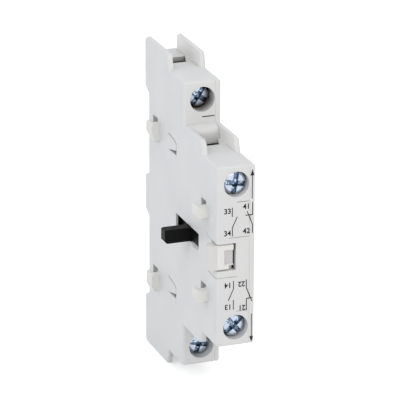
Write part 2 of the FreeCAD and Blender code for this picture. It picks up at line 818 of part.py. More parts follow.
def make_screw(name, face, axis, recess, turn):
    """A terminal screw: pan head with a cross and a slot, shank, and a pin for the plate."""
    body = new_body(name)
    end = dim.head_height + dim.shank_length
    profile = sketch_on(body, "XY", ZERO)
    draw_outline(profile, [
        (ZERO, ZERO),
        (dim.head_radius - dim.head_round, ZERO),
        (dim.head_radius, dim.head_round),
        (dim.head_radius, dim.head_height),
        (dim.shank_radius, dim.head_height),
        (dim.shank_radius, end - dim.seat_gap),
        (dim.pin_radius, end - dim.seat_gap),
        (dim.pin_radius, end + dim.plate_thickness - dim.seat_gap),
        (ZERO, end + dim.plate_thickness - dim.seat_gap),
    ])
    turned = body.newObject("PartDesign::Revolution", "Revolution")
    turned.Profile = profile
    turned.ReferenceAxis = (profile, ["V_Axis"])
    profile.Visibility = False
    arm, thin = dim.cross_length * 0.5, dim.cross_width * 0.5
    cross = sketch_on(body, "XZ", ZERO)
    draw_outline(cross, [
        (arm, thin), (thin, thin), (thin, arm), (-thin, arm), (-thin, thin), (-arm, thin),
        (-arm, -thin), (-thin, -thin), (-thin, -arm), (thin, -arm), (thin, -thin), (arm, -thin),
    ])
    pocket(body, cross, dim.cross_depth)
    blade = sketch_on(body, "XZ", ZERO)
    draw_box(blade, -dim.head_radius, dim.head_radius, -dim.blade_width * 0.5,
             dim.blade_width * 0.5)
    pocket(body, blade, dim.blade_depth)
    body.Placement.Rotation = FreeCAD.Rotation(FreeCAD.Vector(0, 1, 0), turn.value)
    bind(body, "Placement.Rotation.Angle", turn)
    place_body(body, dim.screw_across, behind_front(face + recess), axis)
    return body


def make_spring(name, axis, start, radius, wire, pitch, length):
    """A coil spring wound along an axis from its start, its wire a hexagon in section."""
    side = (axis.cross(FreeCAD.Vector(0, 0, 1))).normalize()
    up = axis.cross(side)
    origin = FreeCAD.Vector(*(size.value for size in start))
    mean = radius.value - wire.value / 2
    rise = length.value - wire.value
    turns = rise / pitch.value
    steps = round(turns * STEPS_PER_TURN)
    path = []
    for step in range(steps + 1):
        angle = 2 * math.pi * turns * step / steps
        along = wire.value / 2 + rise * step / steps
        path.append(origin + axis * along + (side * math.cos(angle) + up * math.sin(angle)) * mean)
    run = path[1] - path[0]
    section = Part.makePolygon(hexagon(path[0], run, side, wire.value / 2))
    coil = Part.makePolygon(path).makePipeShell([section], True, False, 1)
    spring = doc.addObject("Part::Feature", name)
    spring.Shape = coil
    return spring


def hexagon(centre, normal, side, radius):
    """Corners of a closed hexagon square to a direction."""
    direction = FreeCAD.Vector(normal).normalize()
    across = (side - direction * side.dot(direction)).normalize()
    up = direction.cross(across)
    angles = [math.pi / 3 * corner for corner in range(7)]
    return [centre + (across * math.cos(a) + up * math.sin(a)) * radius for a in angles]


def make_latch():
    """The sprung front latch: a nub towards the contactor, a finger recess, a guide flange."""
    body = new_body("front_latch")
    block_back = dim.latch_setback + dim.nub_depth
    block = sketch_on(body, "XY", -dim.latch_half)
    draw_outline(block, [
        (ZERO, behind_front(block_back)),
        (-dim.latch_reach, behind_front(block_back - dim.nub_depth * 0.35)),
        (-dim.latch_reach, behind_front(dim.latch_setback + dim.nub_depth * 0.3)),
        (-dim.latch_reach * 0.55, behind_front(dim.latch_setback)),
        (dim.latch_width, behind_front(dim.latch_setback)),
        (dim.latch_width, behind_front(block_back)),
    ])
    pad(body, block, dim.latch_half * 2)
    flange = sketch_on(body, "XY", -dim.flange_half)
    draw_box(flange, dim.wall + dim.seat_gap, dim.latch_width, behind_front(dim.flange_setback),
             behind_front(dim.flange_setback + dim.flange_depth))
    pad(body, flange, dim.flange_half * 2)
    finger = sketch_on(body, "XZ", behind_front(dim.latch_setback))
    draw_box(finger, dim.latch_width - dim.finger_width, dim.latch_width, -dim.finger_foot,
             dim.finger_top)
    pocket(body, finger, dim.finger_depth)
    toe = sketch_on(body, "XZ", behind_front(dim.latch_setback))
    draw_box(toe, dim.latch_width - dim.toe_width, dim.latch_width, -dim.latch_half,
             dim.toe_height - dim.latch_half)
    pocket(body, toe, dim.toe_depth)
    peg = draw_circle(sketch_on(body, "YZ", dim.latch_width), latch_spring_y, ZERO,
                      dim.latch_spring_radius - dim.latch_spring_wire - dim.slide_gap)
    pad(body, peg, dim.inner_wall)
    return body


make_base()
make_cover()
make_carrier()

make_spring("return_spring", ALONG_Y,
            (dim.screw_across, behind_front(carrier_back + dim.seat_gap), ZERO),
            dim.return_spring_radius, dim.return_spring_wire, dim.return_spring_pitch,
            spring_wall - carrier_back - dim.seat_gap * 2)

make_bridge("opening_bridge", opening_bridge_front)
make_tip_pair("opening_bridge_tips", opening_bridge_front - dim.tip_height)
make_bridge("closing_bridge", closing_bridge_back - dim.bridge_thickness)
make_tip_pair("closing_bridge_tips", closing_bridge_back)
for name, front in (
    ("opening_contact_spring", opening_bridge_front + dim.bridge_thickness + dim.seat_gap),
    ("closing_contact_spring", closing_window_front + dim.seat_gap),
):
    make_spring(name, ALONG_Y, (dim.screw_across, behind_front(front), ZERO),
                dim.contact_spring_radius, dim.contact_spring_wire, dim.contact_spring_pitch,
                dim.spring_room - dim.seat_gap * 2)

for side, sign in (("upper", 1.0), ("lower", -1.0)):
    make_strip(f"{side}_opening_strip", strip_front, dim.front_roof - dim.screw_drop, side)
    make_strip(f"{side}_closing_strip", closing_strip_front, dim.rear_roof - dim.screw_drop, side)
    make_tip(f"{side}_opening_tip", strip_back, dim.tip_height_centre * sign)
    make_tip(f"{side}_closing_tip", closing_strip_front - dim.tip_height,
             dim.tip_height_centre * sign)

for name, face, axis, recess, turn in TERMINALS:
    make_clamp(name + "_clamp", face, axis)
    make_plate(name + "_plate", face, axis, recess)
    make_screw(name + "_screw", face, axis, recess, turn)

make_latch()
make_spring("latch_spring", ALONG_X, (dim.latch_width + dim.seat_gap, latch_spring_y, ZERO),
            dim.latch_spring_radius, dim.latch_spring_wire, dim.latch_spring_pitch,
            seam - dim.latch_width - dim.seat_gap * 2)

doc.recompute()

failed = [item.Name for item in doc.Objects if {"Invalid", "Error"} & set(item.State)]
if failed:
    raise RuntimeError(f"these objects failed: {failed}")

NESTED = [tip for pair in doc.Objects if pair.TypeId == "Part::Compound" for tip in pair.Links]
pieces = [item for item in doc.Objects if item not in NESTED and item.TypeId in
          ("PartDesign::Body", "Part::Cylinder", "Part::Compound", "Part::Feature")]
os.makedirs("parts", exist_ok=True)
for piece in pieces:
    shape = piece.Shape
    if shape.isNull() or not shape.isValid() or not shape.Solids:
        raise RuntimeError(f"{piece.Label} has no sound shape")
    shape.exportStep(f"parts/{piece.Label}.step")
    print(f"{piece.Label}: {len(shape.Solids)} solid, {shape.Volume:.2f} mm3")
print(len(pieces), "pieces")
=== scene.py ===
# %% [markdown]
# # An auxiliary contact block, dressed for its portrait
#
# The block is a slim two-shell switch that hooks onto the side of a contactor. Its shells,
# slide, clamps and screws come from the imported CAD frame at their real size. This lesson
# gives them their surfaces: a tool-textured grey moulding, a black slide, bright zinc
# screws with real threads and recesses, wound springs and the printed terminal marks.

# %% Frame and units
import json
import math

import bmesh
import bpy
import numpy as np
from mathutils import Matrix, Vector

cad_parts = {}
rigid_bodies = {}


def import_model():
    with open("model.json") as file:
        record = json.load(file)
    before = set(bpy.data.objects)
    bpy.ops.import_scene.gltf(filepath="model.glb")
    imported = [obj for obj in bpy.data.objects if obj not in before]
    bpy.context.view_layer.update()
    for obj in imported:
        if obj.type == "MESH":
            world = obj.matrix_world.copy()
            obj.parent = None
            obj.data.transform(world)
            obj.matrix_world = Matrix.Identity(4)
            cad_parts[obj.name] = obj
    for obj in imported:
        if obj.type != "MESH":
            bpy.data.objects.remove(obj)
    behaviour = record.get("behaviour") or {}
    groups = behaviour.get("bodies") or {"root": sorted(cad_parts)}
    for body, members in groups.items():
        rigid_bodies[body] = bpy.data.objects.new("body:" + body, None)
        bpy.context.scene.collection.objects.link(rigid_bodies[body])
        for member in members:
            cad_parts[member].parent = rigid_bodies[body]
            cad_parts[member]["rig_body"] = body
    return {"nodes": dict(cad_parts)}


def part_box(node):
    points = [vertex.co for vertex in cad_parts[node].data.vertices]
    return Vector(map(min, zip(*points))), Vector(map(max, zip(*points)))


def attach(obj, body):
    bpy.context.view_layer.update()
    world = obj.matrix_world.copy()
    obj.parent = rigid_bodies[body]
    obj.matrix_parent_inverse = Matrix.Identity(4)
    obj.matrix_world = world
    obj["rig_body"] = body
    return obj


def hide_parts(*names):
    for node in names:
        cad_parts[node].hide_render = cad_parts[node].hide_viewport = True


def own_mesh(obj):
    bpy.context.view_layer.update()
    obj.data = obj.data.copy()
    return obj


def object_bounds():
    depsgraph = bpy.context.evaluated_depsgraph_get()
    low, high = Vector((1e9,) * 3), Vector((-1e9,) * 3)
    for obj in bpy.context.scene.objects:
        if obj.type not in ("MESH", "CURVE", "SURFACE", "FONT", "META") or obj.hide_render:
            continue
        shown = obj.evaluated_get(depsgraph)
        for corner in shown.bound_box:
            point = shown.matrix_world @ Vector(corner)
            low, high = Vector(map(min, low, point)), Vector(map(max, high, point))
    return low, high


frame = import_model()
cad_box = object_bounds()
MM = 0.001
print("CAD box in mm:", [[round(c / MM, 1) for c in corner] for corner in cad_box])

# %% [markdown]
# ## Places that the frame gives
#
# The front face, the screws' axes and lengths, the springs' rooms and the rear tier's face
# are read from the CAD nodes, so that a new size in the CAD model moves the details with
# it. The latch's face, the lever and its slot, and the printed marks are measured in the
# photograph instead, in millimetres from the mounting side and the middle of the height.

# %% Places read from the frame
front_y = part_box("housing_base")[0].y
TERMINALS = ["rear_upper", "rear_lower", "front_upper", "front_lower"]


def middle(node):
    """The centre of a node's box."""
    low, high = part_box(node)
    return (low + high) / 2


print("front face at", round(front_y / MM, 2), "mm")

# %% [markdown]
# ## Colours and nodes
#
# Paint shops and plastics makers give colours as sRGB hex values. Blender's shaders want
# linear light, so one function turns the first into the second. A second function adds
# any shader node with its settings and its links, which keeps each material readable. A Mix
# node has sockets of one name for each kind of data, so its colour sockets go by number.
# The values of a noise lie mostly between 0.3 and 0.7. Many finishes change only in some
# places, and a third function works out such a share of the surface.

# %% Colour and node helpers
MIX_FIRST, MIX_SECOND, MIX_RESULT = 6, 7, 2
NOISE_LOW, NOISE_HIGH = 0.3, 0.7


def linear(hex_colour):
    """sRGB hex to linear RGBA: each channel is divided by 12.92 near black, and otherwise
    ((c + 0.055) / 1.055) to the power 2.4."""
    values = [int(hex_colour[i:i + 2], 16) / 255 for i in (1, 3, 5)]
    return [v / 12.92 if v <= 0.04045 else ((v + 0.055) / 1.055) ** 2.4 for v in values] + [1.0]


def add_node(tree, kind, settings=None, links=None):
    """Adds a shader node. Settings name its properties or sockets, links name what feeds
    its sockets. A number stands for a socket's place in the node's list."""
    node = tree.nodes.new(kind)
    for name, value in (settings or {}).items():
        if isinstance(name, int) or name in node.inputs:
            node.inputs[name].default_value = value
        else:
            setattr(node, name, value)
    for name, source in (links or {}).items():
        tree.links.new(source, node.inputs[name])
    return node


def new_material(name, colour, roughness, metallic=0.0, ior=None):
    """A material with one Principled shader. Returns it, its node tree and the shader."""
    material = bpy.data.materials.new(name)
    material.use_nodes = True
    tree = material.node_tree
    shader = tree.nodes["Principled BSDF"]
    shader.inputs["Base Color"].default_value = linear(colour)
    shader.inputs["Roughness"].default_value = roughness
    shader.inputs["Metallic"].default_value = metallic
    if ior:
        shader.inputs["IOR"].default_value = ior
    return material, tree, shader


def per_metre(feature_mm):
    """Noise scale that gives features of that size: one over the size in metres."""
    return 1.0 / (feature_mm * MM)


def share_where(tree, limits):
    """A share from nought to one. Each value gives a straight ramp that starts at its first
    limit and is full at its second, and the share is the product of the ramps."""
    ramps = [add_node(tree, "ShaderNodeMapRange", {"From Min": start, "From Max": full},
                      {"Value": value}).outputs["Result"] for value, start, full in limits]
    share = ramps[0]
    for ramp in ramps[1:]:
        share = add_node(tree, "ShaderNodeMath", {"operation": "MULTIPLY"},
                         {0: share, 1: ramp}).outputs[0]
    return share


# %% [markdown]
# ## Moulded polyamide
#
# The shells and the slide are glass-filled polyamide, injection moulded in a spark-eroded
# tool. That gives the eye a fine matt grain, a faint cloudiness where the melt cooled
# unevenly, and edges that catch a little more light. A grain of 0.05 mm would vanish at
# this distance, so it is drawn at 0.16 mm. Its IOR is that of nylon.
#
# A plain moulding also gets light and shade painted into its colour. Edges get a painted
# highlight, and the inward faces of the thin right cheeks get painted light. Where the hooks
# stand out of the mounting face they are drawn paler. Deep in the rear upper terminal lies a
# painted brown shade. Each place is a share from nought to one, by which a tone of its own is laid over the
# base colour.

# %% Places with painted light and shade, and paler hooks
SAMPLES = 8
EDGE_PALE_MM = 0.35
EDGE_FLAT, EDGE_TURNED = 0.99, 0.8
PROUD_FROM_MM, PROUD_FULL_MM = -0.15, -0.6
CAVITY_REACH_MM = 6.0
CAVITY_OPEN, CAVITY_CLOSED = 0.6, 0.2
CAVITY_LOW_MM, CAVITY_HIGH_MM = 24.0, 28.0
CAVITY_RIGHT_MM, CAVITY_FULL_MM = 8.5, 8.3
CHEEK_FROM_MM, CHEEK_FULL_MM = 8.5, 8.65
CHEEK_TURNED, CHEEK_FACING = -0.5, -0.9


def finger_recess_shade_share(tree, place):
    """Painted shade in the finger recess: the mesh's own depth attribute, which is one in the finger recess
    of the latch.
    """
    depth = add_node(tree, "ShaderNodeAttribute", {"attribute_name": "depth"}).outputs["Fac"]
    return share_where(tree, [(depth, 0.0, 1.0)])


def edge_highlight_share(tree, place):
    """Painted highlight on edges: grows where a normal rounded over nearby edges leaves the face's own
    normal.
    """
    wide = add_node(tree, "ShaderNodeBevel", {"samples": SAMPLES, "Radius": EDGE_PALE_MM * MM})
    flat = add_node(tree, "ShaderNodeNewGeometry").outputs["Normal"]
    along = add_node(tree, "ShaderNodeVectorMath", {"operation": "DOT_PRODUCT"},
                     {0: wide.outputs["Normal"], 1: flat}).outputs["Value"]
    return share_where(tree, [(along, EDGE_FLAT, EDGE_TURNED)])


# A paler tone where the piece stands out of the mounting face.
def proud_pale_share(tree, place):
    """Grows where the piece stands out of the mounting face."""
    across = add_node(tree, "ShaderNodeSeparateXYZ", None, {"Vector": place}).outputs["X"]
    return share_where(tree, [(across, PROUD_FROM_MM * MM, PROUD_FULL_MM * MM)])


def cavity_painted_shade_share(tree, place):
    """Painted brown shade: one deep inside the rear upper terminal, nought in the open, beside it and below.
    """
    around = add_node(tree, "ShaderNodeAmbientOcclusion",
                      {"samples": SAMPLES, "Distance": CAVITY_REACH_MM * MM}).outputs["AO"]
    at = add_node(tree, "ShaderNodeSeparateXYZ", None, {"Vector": place}).outputs
    return share_where(tree, [(around, CAVITY_OPEN, CAVITY_CLOSED),
                              (at["Z"], CAVITY_LOW_MM * MM, CAVITY_HIGH_MM * MM),
                              (at["X"], CAVITY_RIGHT_MM * MM, CAVITY_FULL_MM * MM)])


def cheek_painted_light_share(tree, place):
    """Painted light: one on faces of the right cheeks that look inwards, the product of how far right the
    place is and how squarely its normal points left."""
    normal = add_node(tree, "ShaderNodeNewGeometry").outputs["True Normal"]
    leftward = add_node(tree, "ShaderNodeSeparateXYZ", None, {"Vector": normal}).outputs["X"]
    across = add_node(tree, "ShaderNodeSeparateXYZ", None, {"Vector": place}).outputs["X"]
    return share_where(tree, [(leftward, CHEEK_TURNED, CHEEK_FACING),
                              (across, CHEEK_FROM_MM * MM, CHEEK_FULL_MM * MM)])


# %% Polyamide material
POLYAMIDE_IOR = 1.53
GRAIN_MM = 0.16
CLOUD_MM = 9.0
EDGE_ROUND_MM = 0.16
SHINIER_BY, DULLER_BY = 0.05, 0.07


def moulded_polyamide(name, colour, cloud_colour, roughness, grain_depth_mm, specular=0.5,
                      overlays=()):
    """Base colour drifts between two close tones, roughness drifts with it, and a fine
    noise is the tool's grain. Each overlay is a share and the tone that it brings in."""
    material, tree, shader = new_material(name, colour, roughness, ior=POLYAMIDE_IOR)
    shader.inputs["Specular IOR Level"].default_value = specular
    place = add_node(tree, "ShaderNodeTexCoord").outputs["Object"]
    cloud = add_node(tree, "ShaderNodeTexNoise",
                     {"Scale": per_metre(CLOUD_MM), "Detail": 3.0, "Roughness": 0.55},
                     {"Vector": place}).outputs["Fac"]
    tone = add_node(tree, "ShaderNodeMix",
                    {"data_type": "RGBA", MIX_FIRST: linear(colour), MIX_SECOND: linear(cloud_colour)},
                    {"Factor": cloud})
    for share, overlay in overlays:
        tone = add_node(tree, "ShaderNodeMix", {"data_type": "RGBA", MIX_SECOND: linear(overlay)},
                        {MIX_FIRST: tone.outputs[MIX_RESULT], "Factor": share(tree, place)})
    tree.links.new(tone.outputs[MIX_RESULT], shader.inputs["Base Color"])
    gloss = add_node(tree, "ShaderNodeMapRange",
                     {"From Min": NOISE_LOW, "From Max": NOISE_HIGH,
                      "To Min": roughness - SHINIER_BY, "To Max": roughness + DULLER_BY},
                     {"Value": cloud}).outputs["Result"]
    tree.links.new(gloss, shader.inputs["Roughness"])
    grain = add_node(tree, "ShaderNodeTexNoise",
                     {"Scale": per_metre(GRAIN_MM), "Detail": 2.0, "Roughness": 0.6},
                     {"Vector": place}).outputs["Fac"]
    soft_edge = add_node(tree, "ShaderNodeBevel",
                         {"samples": 6, "Radius": EDGE_ROUND_MM * MM}).outputs["Normal"]
    bump = add_node(tree, "ShaderNodeBump", {"Strength": 0.5, "Distance": grain_depth_mm * MM},
                    {"Height": grain, "Normal": soft_edge}).outputs["Normal"]
    tree.links.new(bump, shader.inputs["Normal"])
    return material


# The overlays: a painted highlight on edges, a paler tone where the hooks stand out of the mounting face, a
# painted brown shade deep in the rear upper terminal and painted light on the right cheeks' inner faces.
grey_polyamide = moulded_polyamide(
    "light grey polyamide, moulded", "#DADAD8", "#D6D7D6", 0.46, 0.010,
    overlays=[(edge_highlight_share, "#E6E5E2"), (proud_pale_share, "#E1E0DA"), (cavity_painted_shade_share, "#5C493C"),
              (cheek_painted_light_share, "#EEECE8")])
# The latch's face piece wears a lighter copy of the latch's plastic, which is painted light, with painted
# shade in its finger recess.
latch_polyamide = moulded_polyamide("pale polyamide latch, moulded", "#D7D6D2", "#D3D2CE", 0.42, 0.008)
lit_latch_polyamide = moulded_polyamide("pale polyamide latch, rubbed by fingers", "#E3E2DE", "#DFDEDA", 0.42,
                                     0.008, overlays=[(finger_recess_shade_share, "#CAC8C9")])
black_polyamide = moulded_polyamide("black polyamide slide, moulded", "#050506", "#0A0A0B", 0.5, 0.010,
                                    specular=0.12)
print("grey polyamide made with", len(grey_polyamide.node_tree.nodes), "nodes")

# %% [markdown]
# ## Metals
#
# The screws are steel with blue-passivated zinc: a bright metal whose thin chromate film
# shows blue and, in places, a straw tint. The clamps and plates wear the same zinc, but
# rolled and duller. Strips are tinned brass, bridges are copper alloy, and the contact
# points are silver. A metal keeps Blender's default IOR, its colour is its reflection.

# %% Metal material
GLINT_SPOT_MM = 0.55
GLINT_NONE_AT, GLINT_FULL_AT = 0.52, 0.66
RECESS_START, RECESS_FULL = 0.08, 0.45
SHINY_SHARE, DULL_SHARE = 0.75, 1.3


def plated_metal(name, colour, film_colour, roughness, film_mm, scratch_mm, scratch_depth_mm,
                 recess_film_and_shade_colour=None, painted_glint_colour=None):
    """Metal whose colour wanders between the plating and its film, with fine marks. With a
    recess colour it also goes over to that by the mesh's own depth attribute, partly the film's
    deeper blue and partly painted shade, broken up by painted glints in the recess."""
    material, tree, shader = new_material(name, colour, roughness, metallic=1.0)
    place = add_node(tree, "ShaderNodeTexCoord").outputs["Object"]
    film = add_node(tree, "ShaderNodeTexNoise",
                    {"Scale": per_metre(film_mm), "Detail": 4.0, "Roughness": 0.6},
                    {"Vector": place}).outputs["Fac"]
    tone = add_node(tree, "ShaderNodeMix",
                    {"data_type": "RGBA", MIX_FIRST: linear(colour), MIX_SECOND: linear(film_colour)},
                    {"Factor": film})
    # Recess tone: partly the film's deeper blue and partly painted shade, broken by painted glints.
    if recess_film_and_shade_colour:
        depth = add_node(tree, "ShaderNodeAttribute", {"attribute_name": "depth"}).outputs["Fac"]
        glint_noise = add_node(tree, "ShaderNodeTexNoise",
                         {"Scale": per_metre(GLINT_SPOT_MM), "Detail": 1.0},
                         {"Vector": place}).outputs["Fac"]
        sunk = (depth, RECESS_START, RECESS_FULL)
        for limits, overlay in (([sunk], recess_film_and_shade_colour),
                                ([(glint_noise, GLINT_NONE_AT, GLINT_FULL_AT), sunk], painted_glint_colour)):
            tone = add_node(tree, "ShaderNodeMix", {"data_type": "RGBA", MIX_SECOND: linear(overlay)},
                            {MIX_FIRST: tone.outputs[MIX_RESULT],
                             "Factor": share_where(tree, limits)})
    tree.links.new(tone.outputs[MIX_RESULT], shader.inputs["Base Color"])
    gloss = add_node(tree, "ShaderNodeMapRange",
                     {"From Min": NOISE_LOW, "From Max": NOISE_HIGH,
                      "To Min": roughness * SHINY_SHARE, "To Max": roughness * DULL_SHARE},
                     {"Value": film}).outputs["Result"]
    tree.links.new(gloss, shader.inputs["Roughness"])
    marks = add_node(tree, "ShaderNodeTexNoise",
                     {"Scale": per_metre(scratch_mm), "Detail": 3.0, "Roughness": 0.7},
                     {"Vector": place}).outputs["Fac"]
    bump = add_node(tree, "ShaderNodeBump",
                    {"Strength": 0.6, "Distance": scratch_depth_mm * MM},
                    {"Height": marks}).outputs["Normal"]
    tree.links.new(bump, shader.inputs["Normal"])
    return material


# The screw's recess colour is partly its film and partly painted shade; its glint colour is a painted
# highlight.
screw_zinc = plated_metal("steel, blue passivated zinc", "#D3DCEA", "#A3AEBD", 0.24, 1.6, 0.25, 0.004,
                          recess_film_and_shade_colour="#62768F", painted_glint_colour="#D9E4F2")
clamp_zinc = plated_metal("steel plate, rolled and zinc plated", "#C3C7CC", "#D4D2CA", 0.36, 2.5, 0.3, 0.005)
tinned_brass = plated_metal("brass strip, tinned", "#CFC7AE", "#D8D4C8", 0.32, 2.0, 0.3, 0.004)
copper_alloy = plated_metal("copper alloy strip, stamped", "#C98F66", "#D6A27A", 0.3, 2.0, 0.3, 0.004)
contact_silver = plated_metal("silver contact metal, satin", "#E6E5E0", "#D8D6CE", 0.3, 0.8, 0.2, 0.003)
spring_wire = plated_metal("spring steel wire, drawn", "#A4A7AB", "#B4B3AE", 0.28, 0.8, 0.15, 0.003)
print("screw zinc made with", len(screw_zinc.node_tree.nodes), "nodes")

# %% [markdown]
# ## Printing ink
#
# Terminal numbers and contact symbols are pad printed: a film of dark grey ink a few
# hundredths of a millimetre thick that follows the plastic's grain, a little uneven in
# its cover, which shows as small changes of tone.

# %% Ink material
INK_IOR = 1.5
INK_CLOUD_MM = 0.5


def printed_ink(name, colour, thin_colour):
    """Matt ink whose cover varies: a fine noise mixes the full tone with a thin one."""
    material, tree, shader = new_material(name, colour, 0.6, ior=INK_IOR)
    shader.inputs["Specular IOR Level"].default_value = 0.2
    place = add_node(tree, "ShaderNodeTexCoord").outputs["Object"]
    cover = add_node(tree, "ShaderNodeTexNoise",
                     {"Scale": per_metre(INK_CLOUD_MM), "Detail": 3.0},
                     {"Vector": place}).outputs["Fac"]
    tone = add_node(tree, "ShaderNodeMix",
                    {"data_type": "RGBA", MIX_FIRST: linear(colour), MIX_SECOND: linear(thin_colour)},
                    {"Factor": cover})
    tree.links.new(tone.outputs[MIX_RESULT], shader.inputs["Base Color"])
    return material


dark_ink = printed_ink("dark grey pad printing ink", "#141517", "#2A2B2E")
print("ink made with", len(dark_ink.node_tree.nodes), "nodes")

# %% [markdown]
# ## Finished copies of the CAD pieces
#
# The frame's meshes are loose triangles. A shell looks moulded only when light runs over
# its rounded edges without facets, so each piece is copied, its doubled points are merged,
# and it is shaded smooth with its true corners kept sharp. The copy stands for the node.

# %% Copy a CAD mesh
MERGE_DISTANCE = 1e-7


def merged_mesh(node):
    """A new mesh with the node's own triangles. Points that round to the same ten
    thousandth of a millimetre become one, and triangles that lose a side that way go."""
    source = frame["nodes"][node].data
    points = np.zeros(len(source.vertices) * 3)
    source.vertices.foreach_get("co", points)
    corners = np.zeros(len(source.loops), int)
    source.loops.foreach_get("vertex_index", corners)
    keys = np.round(points.reshape(-1, 3) / MERGE_DISTANCE).astype(np.int64)
    _, first, merged = np.unique(keys, axis=0, return_index=True, return_inverse=True)
    triangles = merged.reshape(-1)[corners].reshape(-1, 3)
    whole = ((triangles[:, 0] != triangles[:, 1]) & (triangles[:, 1] != triangles[:, 2])
             & (triangles[:, 2] != triangles[:, 0]))
    mesh = bpy.data.meshes.new(node + "_finished")
    mesh.from_pydata(points.reshape(-1, 3)[first].tolist(), [], triangles[whole].tolist())
    return mesh


# %% [markdown]
# Two copies also change a little: the photograph's lever is 0.9 mm taller than the frame's,
# and its slot is higher and runs further back, with a thin wall at its back end.

# %% The lever and its slot
LEVER_GROWTH_MM = 0.45
LEVER_ROOT_MM = 1.6
LEVER_HALF_MM = 1.4
LEVER_TIP_MM = -6.9
TIP_TOP_MM = 1.6
SLOT_OUTLINE_MM = [(-1.0, -7.0), (1.5, -7.0), (1.5, 12.5), (0.65, 12.5), (0.65, 10.0), (-1.0, 10.0)]
SLOT_HALF_MM = 2.0


def taller_lever(mesh):
    """Moves the lever's and its foot's points up and down, away from the slide's middle, and
    makes the bevel on top of the lever's end smaller."""
    points = np.zeros(len(mesh.vertices) * 3)
    mesh.vertices.foreach_get("co", points)
    points = points.reshape(-1, 3)
    lever = (points[:, 0] < LEVER_ROOT_MM * MM) & (np.abs(points[:, 2]) < LEVER_HALF_MM * MM)
    points[lever, 2] += np.sign(points[lever, 2]) * LEVER_GROWTH_MM * MM
    points[(points[:, 0] < LEVER_TIP_MM * MM) & (points[:, 2] > 0), 2] = TIP_TOP_MM * MM
    mesh.vertices.foreach_set("co", points.ravel())
    return mesh


def longer_slot(mesh):
    """Cuts the side wall with a block over the lever's slot. The block is longer behind the
    face than in it, so that the slot's back end looks as thin as in the photograph."""
    outline = [(x * MM, y * MM) for x, y in SLOT_OUTLINE_MM]
    low, high = -SLOT_HALF_MM * MM, SLOT_HALF_MM * MM
    count = len(outline)
    sides = [(i, (i + 1) % count, (i + 1) % count + count, i + count) for i in range(count)]
    ends = [tuple(range(count))[::-1], tuple(range(count, 2 * count))]
    block = bpy.data.meshes.new("slot_block")
    block.from_pydata([(x, y, z) for z in (low, high) for x, y in outline], [], sides + ends)
    tool = bpy.data.objects.new("slot_block", block)
    shell = bpy.data.objects.new("slot_shell", mesh)
    for thing in (tool, shell):
        bpy.context.scene.collection.objects.link(thing)
    cut = shell.modifiers.new("slot", "BOOLEAN")
    cut.operation, cut.solver, cut.object = "DIFFERENCE", "EXACT", tool
    bpy.context.view_layer.update()
    result = bpy.data.meshes.new_from_object(shell.evaluated_get(bpy.context.evaluated_depsgraph_get()))
    for thing in (tool, shell):
        bpy.data.objects.remove(thing)
    return result


# %% Finish the CAD pieces
SHARP_ANGLE = math.radians(28)
FLAT_ANGLE = math.radians(0.2)
RESHAPED = {"contact_carrier": taller_lever, "housing_base": longer_slot}


def finish_node(node, material, slot):
    """The merged copy with its flat triangles joined into whole faces, reshaped where that
    is asked, and shaded smooth up to the sharp angle. It replaces its node on its body."""
    source = frame["nodes"][node]
    mesh = merged_mesh(node)
    work = bmesh.new()
    work.from_mesh(mesh)
    bmesh.ops.dissolve_limit(work, angle_limit=FLAT_ANGLE, verts=work.verts, edges=work.edges)
    work.to_mesh(mesh)
    work.free()
    if node in RESHAPED:
        mesh = RESHAPED[node](mesh)
    mesh.shade_smooth()
    mesh.set_sharp_from_angle(angle=SHARP_ANGLE)
    mesh.materials.clear()
    mesh.materials.append(material)
    piece = bpy.data.objects.new(node + "_finished", mesh)
    bpy.context.scene.collection.objects.link(piece)
    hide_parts(node)
    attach(piece, source["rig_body"])
    return piece


NODE_FINISHES = {
    "housing_base": (grey_polyamide, "housing"),
    "housing_cover": (grey_polyamide, "housing"),
    "front_latch": (latch_polyamide, "latch"),
    "contact_carrier": (black_polyamide, "carrier"),
}
for name in TERMINALS:
    NODE_FINISHES[name + "_clamp"] = (clamp_zinc, "clamp_steel")
    NODE_FINISHES[name + "_plate"] = (clamp_zinc, "clamp_steel")
for kind in ("opening", "closing"):
    NODE_FINISHES[kind + "_bridge"] = (copper_alloy, "bridge_copper")
    NODE_FINISHES[kind + "_bridge_tips"] = (contact_silver, "contact_silver")
    for side in ("upper", "lower"):
        NODE_FINISHES[f"{side}_{kind}_strip"] = (tinned_brass, "strip_brass")
        NODE_FINISHES[f"{side}_{kind}_tip"] = (contact_silver, "contact_silver")
finished = {node: finish_node(node, *look) for node, look in NODE_FINISHES.items()}
print(len(finished), "CAD pieces finished")

# %% [markdown]
# ## Surfaces on a grid
#
# Every new piece is one surface over two parameters. Numpy works out all its points as
# one array, rows along the first parameter and columns along the second, and a short
# function stitches neighbouring points into faces.

